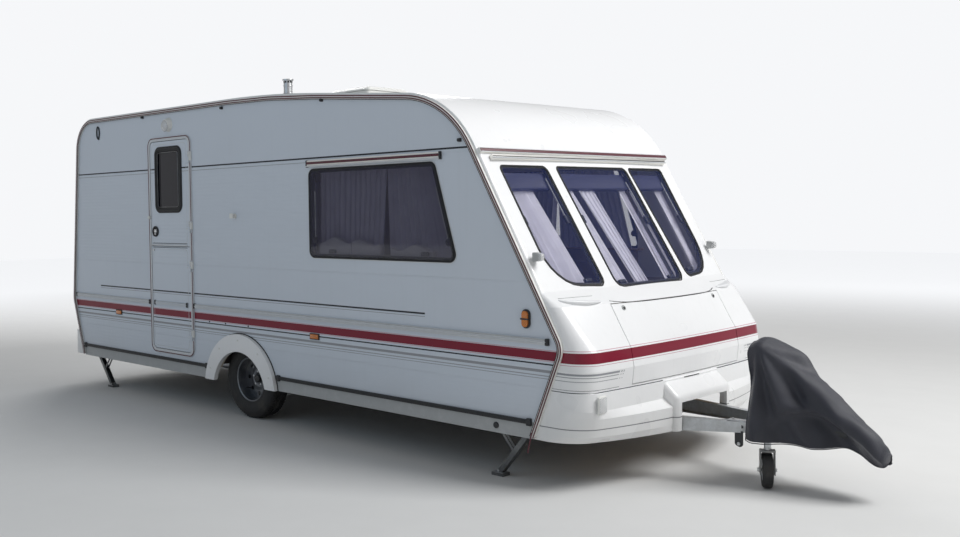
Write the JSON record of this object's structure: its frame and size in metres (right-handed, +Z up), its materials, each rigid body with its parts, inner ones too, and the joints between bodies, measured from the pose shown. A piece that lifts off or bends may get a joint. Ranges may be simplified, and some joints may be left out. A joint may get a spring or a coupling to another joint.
{
  "type": "travel caravan",
  "caption": "Single-axle touring caravan on a drawbar with raked front windows, stable door, gas locker, jockey wheel and corner steadies, parked.",
  "frame": {"origin": "on the ground under the middle of the overall length and width", "axes": "+X forward to the hitch, +Y to the left side, +Z up"},
  "size_m": [7.2478, 2.256, 2.7],
  "materials": {
    "body_white": "satin aluminium skin, off white",
    "gelcoat": "white moulded glass fibre",
    "black_plastic": "black plastic",
    "grey_plastic": "grey plastic",
    "tinted_glass": "tinted acrylic",
    "galvanised": "galvanised steel",
    "cast": "painted casting",
    "tyre": "black tyre",
    "wheel_paint": "grey painted steel",
    "lamp_lens": "lamp lens",
    "red_lens": "red lamp lens",
    "board": "varnished board",
    "stainless": "stainless steel",
    "cover_fabric": "charcoal fabric",
    "rail_trim": "coated aluminium with insert"
  },
  "bodies": {
    "caravan": {"awning_light": "lamp_lens", "awning_rails": "rail_trim", "axle": "galvanised", "cassette_box": "board", "chassis_rails": "galvanised", "coupling_head": "cast", "door_frame": "rail_trim", "draw_bar": "galvanised", "floor_panel": "board", "flue": "stainless", "fridge_vents": "gelcoat", "front_cap": "gelcoat", "front_lamps": "lamp_lens", "front_nose": "gelcoat", "front_panel": "gelcoat", "front_windows": "tinted_glass", "gas_locker_box": "board", "grab_handles": "gelcoat", "handbrake_lever": "cast", "hitch_cover": "cover_fabric", "jockey_tube": "galvanised", "lower_rails": "black_plastic", "rear_bumper": "gelcoat", "rear_lamps": "red_lens", "rear_panel": "gelcoat", "roof_panel": "body_white", "rooflight_frame": "gelcoat", "rub_rails": "rail_trim", "side_lamps": "lamp_lens", "side_skirts": "grey_plastic", "side_wall_left": "body_white", "side_wall_right": "body_white", "steady_frames": "galvanised", "wheel_boxes": "board", "wheel_spats": "gelcoat", "window_frames": "black_plastic", "window_panes": "tinted_glass", "window_rails": "rail_trim"},
    "wheel_right": {"tyre_right": "tyre", "rim_right": "wheel_paint"},
    "wheel_left": {"tyre_left": "tyre", "rim_left": "wheel_paint"},
    "upper_door": {"door_upper": "body_white", "door_pane": "tinted_glass"},
    "lower_door": {"door_lower": "body_white"},
    "locker_lid": {"gas_locker_lid": "gelcoat"},
    "cassette_hatch": {"cassette_door": "body_white"},
    "rooflight": {"rooflight_lid": "gelcoat"},
    "jockey_slider": {"jockey_post": "galvanised"},
    "jockey_swivel": {"jockey_fork": "galvanised"},
    "jockey_roller": {"jockey_wheel": "tyre"},
    "leg_front_right": {"steady_leg_front_right": "galvanised"},
    "brace_front_right": {"steady_brace_front_right": "galvanised"},
    "leg_front_left": {"steady_leg_front_left": "galvanised"},
    "brace_front_left": {"steady_brace_front_left": "galvanised"},
    "leg_rear_right": {"steady_leg_rear_right": "galvanised"},
    "brace_rear_right": {"steady_brace_rear_right": "galvanised"},
    "leg_rear_left": {"steady_leg_rear_left": "galvanised"},
    "brace_rear_left": {"steady_brace_rear_left": "galvanised"}
  },
  "joints": [
    {"name": "wheel_right_spin", "type": "hinge", "parent": "caravan", "child": "wheel_right", "pos_m": [-0.868, -0.93, 0.315], "axis": [0, 1, 0], "continuous": true},
    {"name": "wheel_left_spin", "type": "hinge", "parent": "caravan", "child": "wheel_left", "pos_m": [-0.868, 0.93, 0.315], "axis": [0, 1, 0], "continuous": true},
    {"name": "upper_door_hinge", "type": "hinge", "parent": "caravan", "child": "upper_door", "pos_m": [-1.535, -1.111, 1.85], "axis": [0, 0, 1], "range_deg": [0, 165]},
    {"name": "lower_door_hinge", "type": "hinge", "parent": "caravan", "child": "lower_door", "pos_m": [-1.535, -1.111, 0.92], "axis": [0, 0, 1], "range_deg": [0, 165]},
    {"name": "locker_lid_hinge", "type": "hinge", "parent": "caravan", "child": "locker_lid", "pos_m": [2.302, 0, 1.083], "axis": [0, -1, 0], "range_deg": [0, 70]},
    {"name": "cassette_hinge", "type": "hinge", "parent": "caravan", "child": "cassette_hatch", "pos_m": [-2.641, 1.102, 0.67], "axis": [0, 0, 1], "range_deg": [0, 120]},
    {"name": "rooflight_hinge", "type": "hinge", "parent": "caravan", "child": "rooflight", "pos_m": [0.213, -0.45, 2.566], "axis": [0, 1, 0], "range_deg": [0, 50]},
    {"name": "jockey_lift", "type": "slide", "parent": "caravan", "child": "jockey_slider", "axis": [0, 0, 1], "range_m": [-0.15, 0.045]},
    {"name": "jockey_turn", "type": "hinge", "parent": "jockey_slider", "child": "jockey_swivel", "pos_m": [3.005, -0.17, 0.23], "axis": [0, 0, 1], "continuous": true},
    {"name": "jockey_spin", "type": "hinge", "parent": "jockey_swivel", "child": "jockey_roller", "pos_m": [2.9875, -0.13969, 0.105], "axis": [0.866, 0.5, 0], "continuous": true},
    {"name": "leg_front_right_fold", "type": "hinge", "parent": "caravan", "child": "leg_front_right", "pos_m": [1.925, -1, 0.305], "axis": [0, 1, 0], "range_deg": [0, 46]},
    {"name": "brace_front_right_fold", "type": "hinge", "parent": "leg_front_right", "child": "brace_front_right", "pos_m": [1.81067, -1, 0.16598], "axis": [0, 1, 0], "range_deg": [-93, 0]},
    {"name": "leg_front_left_fold", "type": "hinge", "parent": "caravan", "child": "leg_front_left", "pos_m": [1.925, 1, 0.305], "axis": [0, 1, 0], "range_deg": [0, 46]},
    {"name": "brace_front_left_fold", "type": "hinge", "parent": "leg_front_left", "child": "brace_front_left", "pos_m": [1.81067, 1, 0.16598], "axis": [0, 1, 0], "range_deg": [-93, 0]},
    {"name": "leg_rear_right_fold", "type": "hinge", "parent": "caravan", "child": "leg_rear_right", "pos_m": [-3.29, -1, 0.305], "axis": [0, -1, 0], "range_deg": [0, 46]},
    {"name": "brace_rear_right_fold", "type": "hinge", "parent": "leg_rear_right", "child": "brace_rear_right", "pos_m": [-3.17567, -1, 0.16598], "axis": [0, -1, 0], "range_deg": [-93, 0]},
    {"name": "leg_rear_left_fold", "type": "hinge", "parent": "caravan", "child": "leg_rear_left", "pos_m": [-3.29, 1, 0.305], "axis": [0, -1, 0], "range_deg": [0, 46]},
    {"name": "brace_rear_left_fold", "type": "hinge", "parent": "leg_rear_left", "child": "brace_rear_left", "pos_m": [-3.17567, 1, 0.16598], "axis": [0, -1, 0], "range_deg": [-93, 0]}
  ],
  "couplings": [
    {"joint": "brace_front_right_fold", "follows": "leg_front_right_fold", "ratio": -2},
    {"joint": "brace_front_left_fold", "follows": "leg_front_left_fold", "ratio": -2},
    {"joint": "brace_rear_right_fold", "follows": "leg_rear_right_fold", "ratio": -2},
    {"joint": "brace_rear_left_fold", "follows": "leg_rear_left_fold", "ratio": -2}
  ]
}
